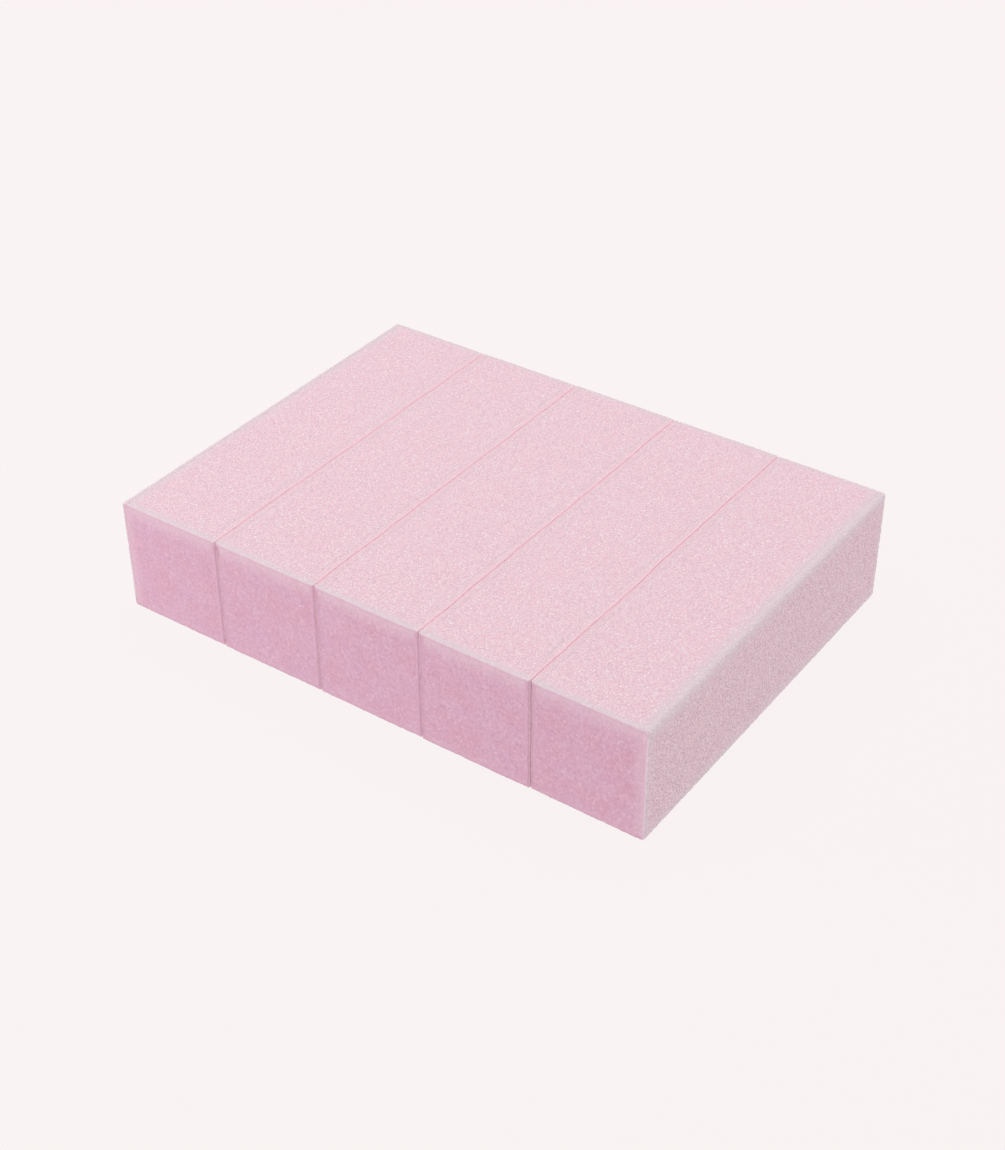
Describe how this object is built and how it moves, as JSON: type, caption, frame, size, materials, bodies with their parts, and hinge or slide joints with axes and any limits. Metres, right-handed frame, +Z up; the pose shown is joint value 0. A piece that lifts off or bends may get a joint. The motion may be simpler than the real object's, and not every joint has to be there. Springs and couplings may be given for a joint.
{
  "type": "nail buffer block",
  "caption": "Row of square-section foam nail buffer blocks, abrasive on their long faces and bare foam at both ends, each lifting out.",
  "frame": {"origin": "middle of the row's underside, on the surface it rests on", "axes": "+X across the row from block 1 to block 5, +Y along the blocks from the near sawn ends to the far ones, +Z up"},
  "size_m": [0.1262, 0.092, 0.026],
  "materials": {
    "soft_foam": "matte",
    "bond_resin": "matte",
    "abrasive_grit": "matte"
  },
  "bodies": {
    "block_1": {"foam_core_1": "soft_foam", "bond_coat_1": "bond_resin", "grit_top_1": "abrasive_grit", "grit_right_1": "abrasive_grit", "grit_bottom_1": "abrasive_grit", "grit_left_1": "abrasive_grit"},
    "block_2": {"foam_core_2": "soft_foam", "bond_coat_2": "bond_resin", "grit_top_2": "abrasive_grit", "grit_right_2": "abrasive_grit", "grit_bottom_2": "abrasive_grit", "grit_left_2": "abrasive_grit"},
    "block_3": {"foam_core_3": "soft_foam", "bond_coat_3": "bond_resin", "grit_top_3": "abrasive_grit", "grit_right_3": "abrasive_grit", "grit_bottom_3": "abrasive_grit", "grit_left_3": "abrasive_grit"},
    "block_4": {"foam_core_4": "soft_foam", "bond_coat_4": "bond_resin", "grit_top_4": "abrasive_grit", "grit_right_4": "abrasive_grit", "grit_bottom_4": "abrasive_grit", "grit_left_4": "abrasive_grit"},
    "block_5": {"foam_core_5": "soft_foam", "bond_coat_5": "bond_resin", "grit_top_5": "abrasive_grit", "grit_right_5": "abrasive_grit", "grit_bottom_5": "abrasive_grit", "grit_left_5": "abrasive_grit"}
  },
  "joints": [
    {"name": "block_1_lift", "type": "slide", "parent": "block_3", "child": "block_1", "axis": [0, 0, 1], "range_m": [0, 0.04]},
    {"name": "block_2_lift", "type": "slide", "parent": "block_3", "child": "block_2", "axis": [0, 0, 1], "range_m": [0, 0.04]},
    {"name": "block_4_lift", "type": "slide", "parent": "block_3", "child": "block_4", "axis": [0, 0, 1], "range_m": [0, 0.04]},
    {"name": "block_5_lift", "type": "slide", "parent": "block_3", "child": "block_5", "axis": [0, 0, 1], "range_m": [0, 0.04]}
  ]
}
